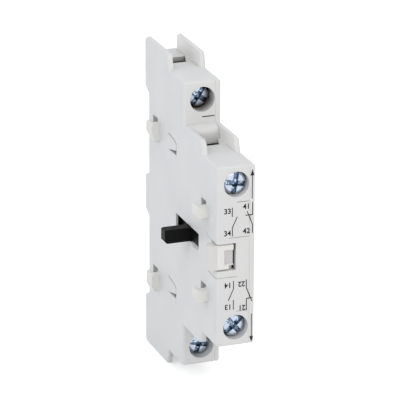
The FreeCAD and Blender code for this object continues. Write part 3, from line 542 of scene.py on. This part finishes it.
# %% Mesh from a grid
def grid_piece(name, points, material, body, wrap_columns=False, close_ends=False,
               depth=None):
    """Stitches a (rows, columns, 3) array into quads. wrap_columns joins the last column to
    the first, close_ends fills the first and last rows with one face each, and depth gives
    each point a value that its material can read."""
    rows, columns = points.shape[:2]
    index = np.arange(rows * columns).reshape(rows, columns)
    if wrap_columns:
        index = np.concatenate([index, index[:, :1]], axis=1)
    quads = np.stack([index[:-1, :-1], index[:-1, 1:], index[1:, 1:], index[1:, :-1]], axis=-1)
    faces = quads.reshape(-1, 4).tolist()
    if close_ends:
        faces.append(list(range(columns))[::-1])
        faces.append([(rows - 1) * columns + c for c in range(columns)])
    mesh = bpy.data.meshes.new(name)
    mesh.from_pydata(points.reshape(-1, 3).tolist(), [], faces)
    if depth is not None:
        mesh.attributes.new("depth", "FLOAT", "POINT").data.foreach_set("value", depth.ravel())
    work = bmesh.new()
    work.from_mesh(mesh)
    bmesh.ops.remove_doubles(work, verts=work.verts, dist=MERGE_DISTANCE)
    bmesh.ops.recalc_face_normals(work, faces=work.faces)
    work.to_mesh(mesh)
    work.free()
    mesh.shade_smooth()
    mesh.set_sharp_from_angle(angle=SHARP_ANGLE)
    mesh.materials.append(material)
    piece = bpy.data.objects.new(name, mesh)
    bpy.context.scene.collection.objects.link(piece)
    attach(piece, body)
    return piece


# %% [markdown]
# ## The latch's face
#
# The sprung latch shows a step at the corner of the block, a rounded pad beside it and a
# shallow finger recess at its right end. The CAD latch is plain there, so a thin face lies
# over it: rows along its height, each a closed loop of front points and one back line.

# %% Latch face in millimetres, measured behind the front face
LATCH_FACE_LEFT, LATCH_FACE_RIGHT = 0.16, 4.45
LATCH_FACE_HALF = 3.15
LATCH_FACE_SETBACK = 0.06
LATCH_FACE_BACK = 1.7
LATCH_EDGE_ROUND = 0.32
LATCH_RIM_ROUND = 0.16
LATCH_ROWS, LATCH_COLUMNS = 90, 72
FINGER_LEFT = 2.15
FINGER_LOW, FINGER_HIGH = -1.85, 1.75
FINGER_DEPTH = 0.6
FINGER_SIDE_SLOPE, FINGER_END_SLOPE = 0.22, 0.3
TOE_LEFT, TOE_HIGH, TOE_FLOOR = 3.25, -2.15, 1.62
TOE_WALL = 0.02


def rounded_rim(distance, radius):
    """How far a quarter round has dropped at that distance inside its edge."""
    inwards = np.clip(1 - distance / radius, 0, 1)
    return radius * (1 - np.sqrt(1 - inwards ** 2))


def slope(value, edge, width):
    """Straight step from nought to one that is half way at the edge."""
    return np.clip(0.5 + (value - edge) / width, 0, 1)


def latch_face():
    """Front field y(x, z) of the pad and its finger recess, closed to a block behind."""
    x = np.linspace(LATCH_FACE_LEFT, LATCH_FACE_RIGHT, LATCH_COLUMNS)[None, :]
    z = np.linspace(-LATCH_FACE_HALF, LATCH_FACE_HALF, LATCH_ROWS)[:, None]
    front = (LATCH_FACE_SETBACK + rounded_rim(x - LATCH_FACE_LEFT, LATCH_EDGE_ROUND)
             + rounded_rim(LATCH_FACE_HALF - np.abs(z), LATCH_RIM_ROUND))
    finger = (slope(x, FINGER_LEFT, FINGER_SIDE_SLOPE) * slope(z, FINGER_LOW, FINGER_END_SLOPE)
              * slope(-z, -FINGER_HIGH, FINGER_END_SLOPE))
    toe = slope(x, TOE_LEFT, TOE_WALL) * slope(-z, -TOE_HIGH, TOE_WALL)
    front = np.maximum(front + FINGER_DEPTH * finger, TOE_FLOOR * toe)
    shape = np.broadcast(x, z).shape
    sheet = np.stack([np.broadcast_to(x, shape), front, np.broadcast_to(z, shape)], axis=-1)
    back = sheet[:, [-1, 0]].copy()
    back[..., 1] = LATCH_FACE_BACK
    points = np.concatenate([sheet, back], axis=1) * MM
    points[..., 1] += front_y
    # The face wears the painted lit copy of the latch's plastic, with painted shade in the finger recess.
    return grid_piece("front_latch_face", points, lit_latch_polyamide, "latch",
                      wrap_columns=True, close_ends=True,
                      depth=np.concatenate([finger, np.zeros((len(z), 2))], axis=1))


latch_face()
print("latch face on a grid of", LATCH_ROWS, "by", LATCH_COLUMNS, "points")

# %% [markdown]
# ## Coil springs
#
# A coil is a tube carried along a helix. The CAD frame holds a faceted coil, enough for
# its room and its ends. Here the wire is round, and its first and last turns lie closed,
# as a spring maker winds them: the climb is slow at both ends and quick between.

# %% Springs
CLOSED_TURNS = 0.8
STEPS_PER_TURN = 28
WIRE_SIDES = 12


def coil(node, axis, radius_mm, wire_mm, pitch_mm, body):
    """Helix: the angle runs evenly. The climb is one wire thickness a turn over the closed
    turns at both ends and one pitch a turn between. Round wire follows that line."""
    low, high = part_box(node)
    along_index = "xyz".index(axis)
    others = [i for i in range(3) if i != along_index]
    centre = (np.array(low) + np.array(high)) / 2
    rise = (high[along_index] - low[along_index]) / MM - wire_mm
    turns = 2 * CLOSED_TURNS + (rise - 2 * CLOSED_TURNS * wire_mm) / pitch_mm
    turn = np.linspace(0.0, turns, int(turns * STEPS_PER_TURN) + 1)
    climb = np.interp(turn, [0, CLOSED_TURNS, turns - CLOSED_TURNS, turns],
                      [0, CLOSED_TURNS * wire_mm, rise - CLOSED_TURNS * wire_mm, rise])
    angle = 2 * np.pi * turn[:, None]
    ring = 2 * np.pi * np.arange(WIRE_SIDES)[None, :] / WIRE_SIDES
    out = radius_mm - wire_mm / 2 + wire_mm / 2 * np.cos(ring)
    points = np.zeros((len(turn), WIRE_SIDES, 3))
    points[..., along_index] = (low[along_index] / MM + wire_mm / 2 + climb[:, None]
                                + wire_mm / 2 * np.sin(ring))
    points[..., others[0]] = centre[others[0]] / MM + out * np.cos(angle)
    points[..., others[1]] = centre[others[1]] / MM + out * np.sin(angle)
    piece = grid_piece(node + "_wire", points * MM, spring_wire, body,
                       wrap_columns=True, close_ends=True)
    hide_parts(node)
    print(node, "wound with", round(turns, 1), "turns")
    return piece


return_wire = coil("return_spring", "y", radius_mm=1.9, wire_mm=0.4, pitch_mm=1.4, body="housing")
coil("opening_contact_spring", "y", radius_mm=1.45, wire_mm=0.3, pitch_mm=1.05, body="carrier")
closing_wire = coil("closing_contact_spring", "y", radius_mm=1.45, wire_mm=0.3, pitch_mm=1.05,
                    body="carrier")
latch_wire = coil("latch_spring", "x", radius_mm=1.35, wire_mm=0.3, pitch_mm=0.85, body="housing")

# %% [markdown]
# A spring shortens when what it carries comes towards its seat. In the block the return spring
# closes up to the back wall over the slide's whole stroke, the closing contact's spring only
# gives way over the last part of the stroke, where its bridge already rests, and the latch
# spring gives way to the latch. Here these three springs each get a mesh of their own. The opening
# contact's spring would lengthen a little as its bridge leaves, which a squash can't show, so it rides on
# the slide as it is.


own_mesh(return_wire)
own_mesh(closing_wire)
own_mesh(latch_wire)

# %% [markdown]
# ## Terminal screws
#
# Each M3 screw has a pan head with a combined recess: two slots that cross right over the
# head, so that a flat blade fits, and a deeper well in the middle for a cross-point driver.
# The head's face is a height field over a disc, lowered where the driver goes in. The shank
# is a turned profile whose radius follows the thread's phase, one turn every 0.5 mm. The
# blue is drawn deeper down in the recess, partly the plating's thicker film there and partly
# painted shade, with painted glints, so the mesh carries the depth of each point as an
# attribute, and the screw's material deepens its blue by it.

# %% Screw sizes in millimetres
HEAD_RADIUS = 3.0
HEAD_HEIGHT = 2.1
HEAD_CROWN = 0.2
RIM_ROUND = 0.8
RIM_START_ANGLE = 0.12
BACK_EDGE_UP, BACK_EDGE_IN = 0.15, 0.12
SHANK_RADIUS = 1.45
SHANK_ROOT = 0.05
SHANK_BEVEL_UP, SHANK_BEVEL_START, SHANK_BEVEL_IN = 0.2, 0.1, 0.3
THREAD_DEPTH = 0.28
THREAD_PITCH = 0.5
THREAD_RUN_IN = 0.6
PIN_RADIUS = 0.8
PIN_BEVEL = 0.1
PLATE_THICKNESS = 1.0
SLOT_HALF = 0.6
SLOT_DEPTH = 0.9
CROSS_HALF = 0.6
CROSS_DEPTH = 0.75
WELL_REACH = 1.15
WELL_BEVEL = 0.4
WELL_DEPTH = 1.45
WALL_WIDTH = 0.12
THINNEST_FLOOR = 0.25
FACE_ROWS, RIM_ROWS, ROWS_PER_TURN = 46, 10, 8
HEAD_COLUMNS = 176
SCREW_TURNS = {"rear_upper": 35.0, "rear_lower": 15.0, "front_upper": 10.0, "front_lower": 50.0}


def wall_step(distance):
    """Smooth step from one inside to nought outside, over the width of a recess wall."""
    way = np.clip(0.5 - distance / WALL_WIDTH, 0, 1)
    return way * way * (3 - 2 * way)


def recess_depth(x, z):
    """Depth of the recess at a place on the head: the deepest of a slot along x, a shallower
    slot along z, and a middle well whose bevel falls from their floors towards its own."""
    slot = SLOT_DEPTH * wall_step(np.abs(z) - SLOT_HALF)
    cross = CROSS_DEPTH * wall_step(np.abs(x) - CROSS_HALF)
    out = np.maximum(np.abs(x), np.abs(z))
    inside = wall_step(np.minimum(np.abs(x), np.abs(z)) - SLOT_HALF)
    well = SLOT_DEPTH + (WELL_DEPTH - SLOT_DEPTH) * np.clip((WELL_REACH - out) / WELL_BEVEL, 0, 1)
    return np.maximum(np.maximum(slot, cross), well * inside * wall_step(out - WELL_REACH))


def head_face():
    """Polar grid over the head: radius by angle, with a slight crown, a quarter round at the
    rim and the recess sunk into it."""
    rim_angle = np.linspace(RIM_START_ANGLE, np.pi / 2, RIM_ROWS)
    radius = np.concatenate([np.linspace(0, HEAD_RADIUS - RIM_ROUND, FACE_ROWS),
                             HEAD_RADIUS - RIM_ROUND * (1 - np.sin(rim_angle))])
    angle = 2 * np.pi * np.arange(HEAD_COLUMNS) / HEAD_COLUMNS
    x, z = radius[:, None] * np.cos(angle), radius[:, None] * np.sin(angle)
    rim = np.clip((radius - (HEAD_RADIUS - RIM_ROUND)) / RIM_ROUND, 0, 1)
    y = HEAD_CROWN * (radius / HEAD_RADIUS) ** 2 + (RIM_ROUND - HEAD_CROWN) * (1 - np.sqrt(1 - rim ** 2))
    sunk = recess_depth(x, z)
    y = np.minimum(y[:, None] + sunk, HEAD_HEIGHT - THINNEST_FLOOR)
    return np.stack([x, y, z], axis=-1), sunk / WELL_DEPTH


def shank_side(shank_length):
    """Turned rows from the head's rim to the pin's end. The thread's radius drops by its
    depth as a triangle wave of height plus angle."""
    angle = 2 * np.pi * np.arange(HEAD_COLUMNS) / HEAD_COLUMNS
    end = HEAD_HEIGHT + shank_length
    thread_start, thread_end = HEAD_HEIGHT + THREAD_RUN_IN, end - THREAD_PITCH
    under_head = [(HEAD_HEIGHT - BACK_EDGE_UP, HEAD_RADIUS), (HEAD_HEIGHT, HEAD_RADIUS - BACK_EDGE_IN),
                  (HEAD_HEIGHT, SHANK_RADIUS - SHANK_ROOT)]
    rows = [(y, np.full(HEAD_COLUMNS, radius)) for y, radius in under_head]
    for y in np.arange(thread_start, thread_end, THREAD_PITCH / ROWS_PER_TURN):
        phase = (y / THREAD_PITCH - angle / (2 * np.pi)) % 1.0
        depth = THREAD_DEPTH * np.abs(2 * phase - 1)
        fade = min(1.0, (y - thread_start) / THREAD_PITCH, (thread_end - y) / THREAD_PITCH)
        rows.append((y, SHANK_RADIUS - depth * fade))
    tip = end + PLATE_THICKNESS
    tail = [(end - SHANK_BEVEL_UP, SHANK_RADIUS - SHANK_BEVEL_START),
            (end, SHANK_RADIUS - SHANK_BEVEL_IN), (end, PIN_RADIUS),
            (tip - PIN_BEVEL, PIN_RADIUS), (tip, PIN_RADIUS - PIN_BEVEL), (tip, 0.0)]
    rows += [(y, np.full(HEAD_COLUMNS, radius)) for y, radius in tail]
    y = np.array([row[0] for row in rows])
    radius = np.stack([row[1] for row in rows])
    y = np.repeat(y[:, None], HEAD_COLUMNS, axis=1)
    return np.stack([radius * np.cos(angle), y, radius * np.sin(angle)], axis=-1)


def make_screw(terminal):
    """Head face and side as one closed surface, turned by the screw's rest angle and put on
    the axis of its CAD node, which also gives its length."""
    node = terminal + "_screw"
    low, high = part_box(node)
    face, sunk = head_face()
    side = shank_side((high.y - low.y) / MM - HEAD_HEIGHT - PLATE_THICKNESS)
    local = np.concatenate([face, side], axis=0)
    turn = math.radians(SCREW_TURNS[terminal])
    x = local[..., 0] * math.cos(turn) + local[..., 2] * math.sin(turn)
    z = -local[..., 0] * math.sin(turn) + local[..., 2] * math.cos(turn)
    centre = middle(node)
    points = np.stack([x * MM + centre.x, local[..., 1] * MM + low.y, z * MM + centre.z], axis=-1)
    piece = grid_piece(node + "_turned", points, screw_zinc, node, wrap_columns=True,
                       depth=np.concatenate([sunk, np.zeros(side.shape[:2])]))
    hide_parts(node)
    return piece


screws = [make_screw(name) for name in TERMINALS]
print("screw faces:", len(screws[0].data.polygons))

# %% [markdown]
# ## Printed marks
#
# The front carries plain terminal numbers and the two usual contact symbols, once for each
# way up that the block can be mounted. A printed line is a thin ribbon two hundredths of a
# millimetre proud of the face, with square ends, drawn between points given in millimetres
# across and up the face. Numbers are text made into meshes of the same height. All of it
# reaches a little into the face, so that no gap shows from the side.

# %% Ribbons, arrows and numbers
INK_LIFT_MM = 0.02
INK_SUNK_SHARE = 0.5
LINE_MM = 0.22
RULE_MM = 0.07
BRACKET_MM = 0.1
REAR_MARK_MM = 0.27
MITRE_LIMIT = 0.5
ARROW_STEM_MM = 0.2
ARROW_HALF_MM, ARROW_TIP_HALF_MM = 0.5, 0.02
DIGIT_HEIGHT_MM = 1.37
DIGIT_WEIGHT_MM = 0.045
CAPITAL_SHARE = 0.72


def ink_bar(name, middle_line, side, face_y):
    """A film of ink along (x, z) places in mm. Each place gets a left and a right edge point,
    one side vector away, and each edge point a copy in the face and one proud of it."""
    corners = np.stack([middle_line - side, middle_line + side], axis=1)
    deep = np.full(corners.shape[:2], face_y + INK_SUNK_SHARE * INK_LIFT_MM * MM)
    proud = np.full(corners.shape[:2], face_y - INK_LIFT_MM * MM)
    back = np.stack([corners[..., 0] * MM, deep, corners[..., 1] * MM], axis=-1)
    front = np.stack([corners[..., 0] * MM, proud, corners[..., 1] * MM], axis=-1)
    section = np.concatenate([back, front[:, ::-1]], axis=1)
    return grid_piece(name, section, dark_ink, "housing", wrap_columns=True,
                      close_ends=True)


def ribbon(name, places, width_mm=LINE_MM, face_y=front_y):
    """A printed line through (x, z) places in mm, whose edges lie half the width away along
    the bisecting normals."""
    line = np.array(places, float)
    run = np.diff(line, axis=0)
    run = run / np.linalg.norm(run, axis=1)[:, None]
    mitre = np.concatenate([run[:1], run[:-1] + run[1:], run[-1:]])
    mitre = mitre / np.linalg.norm(mitre, axis=1)[:, None]
    normal = np.stack([-mitre[:, 1], mitre[:, 0]], axis=1)
    joint = np.concatenate([run[:1], run])
    stretch = 1.0 / np.clip(np.abs(np.sum(mitre * joint, axis=1)), MITRE_LIMIT, 1)
    return ink_bar(name, line, normal * (stretch * width_mm / 2)[:, None], face_y)


def arrow(name, x, tail, head, tip):
    """An arrow along Z: a thin stem and a narrow filled head that tapers to its tip."""
    ribbon(name + "_stem", [(x, tail), (x, head)], ARROW_STEM_MM)
    halves = np.array([[ARROW_HALF_MM, 0.0], [ARROW_TIP_HALF_MM, 0.0]])
    ink_bar(name + "_head", np.array([[x, head], [x, tip]]), halves, front_y)


def number(name, text, centre_x, centre_z, upside_down=False):
    """Plain digits, centred on a place of the front face and as thick as the ink."""
    curve = bpy.data.curves.new(name, "FONT")
    curve.body = text
    curve.size = DIGIT_HEIGHT_MM * MM / CAPITAL_SHARE
    curve.offset = DIGIT_WEIGHT_MM * MM
    curve.align_x = "CENTER"
    curve.align_y = "CENTER"
    curve.extrude = (1 + INK_SUNK_SHARE) / 2 * INK_LIFT_MM * MM
    shape = bpy.data.objects.new(name + "_text", curve)
    bpy.context.scene.collection.objects.link(shape)
    bpy.context.view_layer.update()
    mesh = bpy.data.meshes.new_from_object(shape.evaluated_get(bpy.context.evaluated_depsgraph_get()))
    bpy.data.objects.remove(shape)
    points = np.zeros(len(mesh.vertices) * 3)
    mesh.vertices.foreach_get("co", points)
    points = points.reshape(-1, 3)
    flip = -1.0 if upside_down else 1.0
    placed = np.stack([centre_x * MM + flip * points[:, 0],
                       front_y - (1 - INK_SUNK_SHARE) / 2 * INK_LIFT_MM * MM - points[:, 2],
                       centre_z * MM + flip * points[:, 1]], axis=-1)
    mesh.vertices.foreach_set("co", placed.ravel())
    mesh.update()
    mesh.materials.clear()
    mesh.materials.append(dark_ink)
    mesh.name = name
    piece = bpy.data.objects.new(name, mesh)
    bpy.context.scene.collection.objects.link(piece)
    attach(piece, "housing")
    return piece


# %% The marks of the upper half
number("mark_33", "33", 2.75, 12.0)
number("mark_34", "34", 2.75, 6.25)
number("mark_41", "41", 7.72, 12.75)
number("mark_42", "42", 7.75, 6.35)
ribbon("closing_upper_lead", [(4.0, 12.9), (4.0, 10.5)])
ribbon("closing_upper_blade", [(5.3, 10.4), (4.06, 7.7), (4.06, 5.4)])
ribbon("opening_upper_bracket", [(5.2, 14.2), (8.4, 14.2)], BRACKET_MM)
ribbon("opening_upper_lead", [(9.32, 13.8), (9.32, 10.5), (7.45, 10.5)])
ribbon("opening_upper_blade", [(7.9, 11.5), (9.32, 8.0), (9.32, 5.7)])
ribbon("upper_rule", [(3.2, 5.0), (8.45, 5.0)], RULE_MM)

# %% The marks of the lower half, turned over
number("mark_14", "14", 3.0, -7.35, upside_down=True)
number("mark_13", "13", 3.05, -13.1, upside_down=True)
number("mark_22", "22", 6.6, -7.4, upside_down=True)
number("mark_21", "21", 6.75, -13.7, upside_down=True)
ribbon("closing_lower_blade", [(4.46, -6.4), (4.46, -8.5), (3.1, -11.5)])
ribbon("closing_lower_lead", [(4.46, -11.4), (4.46, -14.0)])
ribbon("opening_lower_blade", [(7.86, -6.4), (7.86, -8.6), (9.4, -12.4)])
ribbon("opening_lower_lead", [(9.5, -11.45), (7.93, -11.45), (7.93, -14.5)])
ribbon("lower_rule", [(5.3, -14.55), (8.2, -14.55)], RULE_MM)

# %% [markdown]
# The rear tier's face has no node of its own. It lies a fixed way in front of its clamp.

# %% Arrows and the mark on the rear tier
arrow("upper_arrow", x=9.2, tail=14.7, head=20.7, tip=22.3)
arrow("lower_arrow", x=9.3, tail=-15.7, head=-21.7, tip=-23.2)
CLAMP_SETBACK_MM = 11.9
rear_face_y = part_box("rear_upper_clamp")[0].y - CLAMP_SETBACK_MM * MM
ribbon("rear_tier_mark", [(5.0, 28.75), (8.3, 28.75)], REAR_MARK_MM, rear_face_y)
print("rear tier's face at", round(rear_face_y / MM, 2), "mm")

# %% [markdown]
# ## Light and floor
#
# The photograph is a packshot: even white light from all round, white ground, almost no
# shadow. A bright world lights the block softly, and the camera and mirrors see it white.
# One large lamp gives the front face its slightly warmer, brighter tone, and one at the left
# lights the mounting side. The floor fades to white for the camera but still shows the
# block's soft contact shadow.

# %% World and lamps
AMBIENT_STRENGTH = 0.88
LAMP_AIM_MM = (5.0, 0.0, 0.0)

world = bpy.data.worlds.new("studio")
bpy.context.scene.world = world
world.use_nodes = True
sky = world.node_tree
sky.nodes.clear()
ray = add_node(sky, "ShaderNodeLightPath")
mirrored = add_node(sky, "ShaderNodeMath", {"operation": "MAXIMUM"},
                    {0: ray.outputs["Is Glossy Ray"], 1: ray.outputs["Is Transmission Ray"]})
seen = add_node(sky, "ShaderNodeMath", {"operation": "MAXIMUM"},
                {0: ray.outputs["Is Camera Ray"], 1: mirrored.outputs[0]})
ambient = add_node(sky, "ShaderNodeBackground",
                   {"Color": linear("#F4F6FA"), "Strength": AMBIENT_STRENGTH})
white = add_node(sky, "ShaderNodeBackground", {"Color": (1, 1, 1, 1), "Strength": 1.0})
chosen = add_node(sky, "ShaderNodeMixShader", None,
                  {0: seen.outputs[0], 1: ambient.outputs[0], 2: white.outputs[0]})
add_node(sky, "ShaderNodeOutputWorld", None, {"Surface": chosen.outputs[0]})


def soft_lamp(name, place_mm, size_mm, watts, colour):
    """A square area lamp that looks at the middle of the block."""
    lamp = bpy.data.lights.new(name, "AREA")
    lamp.size = size_mm * MM
    lamp.energy = watts
    lamp.color = linear(colour)[:3]
    holder = bpy.data.objects.new(name, lamp)
    bpy.context.scene.collection.objects.link(holder)
    place = np.array(place_mm, float) * MM
    holder.location = place
    aim = np.array(LAMP_AIM_MM) * MM - place
    holder.rotation_euler = Vector(aim).to_track_quat("-Z", "Y").to_euler()


soft_lamp("front_softbox", place_mm=(90, -470, 280), size_mm=380, watts=0.64, colour="#FFF4E8")
soft_lamp("left_softbox", place_mm=(-430, -160, 330), size_mm=380, watts=0.62, colour="#F0F4FF")

# %% Floor
FLOOR_REACH = 3.0
FLOOR_GLOW = 0.45
floor_z = cad_box[0][2]
floor_mesh = bpy.data.meshes.new("floor")
corners = [(-FLOOR_REACH, -FLOOR_REACH), (FLOOR_REACH, -FLOOR_REACH), (FLOOR_REACH, FLOOR_REACH),
           (-FLOOR_REACH, FLOOR_REACH)]
floor_mesh.from_pydata([(x, y, floor_z) for x, y in corners], [], [(0, 1, 2, 3)])
floor = bpy.data.objects.new("floor", floor_mesh)
bpy.context.scene.collection.objects.link(floor)
paper, paper_tree, paper_shader = new_material("white paper sweep", "#E6E6E5", 0.9)
path = add_node(paper_tree, "ShaderNodeLightPath")
direct = add_node(paper_tree, "ShaderNodeMath", {"operation": "MAXIMUM"},
                  {0: path.outputs["Is Camera Ray"], 1: path.outputs["Is Glossy Ray"]})
lit = add_node(paper_tree, "ShaderNodeMath", {"operation": "MULTIPLY", 1: FLOOR_GLOW},
               {0: direct.outputs[0]})
glow = add_node(paper_tree, "ShaderNodeEmission", {"Color": (1, 1, 1, 1)},
                {"Strength": lit.outputs[0]})
both = add_node(paper_tree, "ShaderNodeAddShader", None,
                {0: paper_shader.outputs[0], 1: glow.outputs[0]})
paper_tree.links.new(both.outputs[0], paper_tree.nodes["Material Output"].inputs["Surface"])
floor_mesh.materials.append(paper)
print("floor at", round(floor_z / MM, 2), "mm")

# %% [markdown]
# ## Camera
#
# The photograph was taken with a long lens from the block's front left and a little above.
# Its direction and distance come from fitting straight edges of the block to the picture.

# %% Camera at the photograph's angle
AZIMUTH = math.radians(20.15)
ELEVATION = math.radians(19.50)
ROLL = math.radians(0.23)
FOCAL_PIXELS = 3006.0
PICTURE = 400
FRONT_EDGE_PIXEL = (216.76, 258.91)
DISTANCE_MM = 739.8
SENSOR_MM = 36.0

right = np.array([math.cos(AZIMUTH), -math.sin(AZIMUTH), 0.0])
ahead = np.array([math.sin(AZIMUTH) * math.cos(ELEVATION),
                  math.cos(AZIMUTH) * math.cos(ELEVATION), -math.sin(ELEVATION)])
up = np.cross(right, ahead)
right, up = (right * math.cos(ROLL) + up * math.sin(ROLL),
             up * math.cos(ROLL) - right * math.sin(ROLL))
across = (FRONT_EDGE_PIXEL[0] - PICTURE / 2) / FOCAL_PIXELS * DISTANCE_MM
raised = -(FRONT_EDGE_PIXEL[1] - PICTURE / 2) / FOCAL_PIXELS * DISTANCE_MM
front_edge = np.array([0.0, front_y, 0.0])
eye = front_edge - (across * right + raised * up + DISTANCE_MM * ahead) * MM
camera_data = bpy.data.cameras.new("camera")
camera_data.sensor_width = SENSOR_MM
camera_data.lens = FOCAL_PIXELS / PICTURE * SENSOR_MM
camera_data.clip_end = 10.0
camera = bpy.data.objects.new("camera", camera_data)
bpy.context.scene.collection.objects.link(camera)
pose = Matrix([[right[i], up[i], -ahead[i], eye[i]] for i in range(3)] + [[0, 0, 0, 1]])
camera.matrix_world = pose
bpy.context.scene.camera = camera
bpy.context.scene.view_settings.view_transform = "Standard"
print("camera at", np.round(eye / MM, 1), "mm, lens", round(camera_data.lens, 1), "mm")
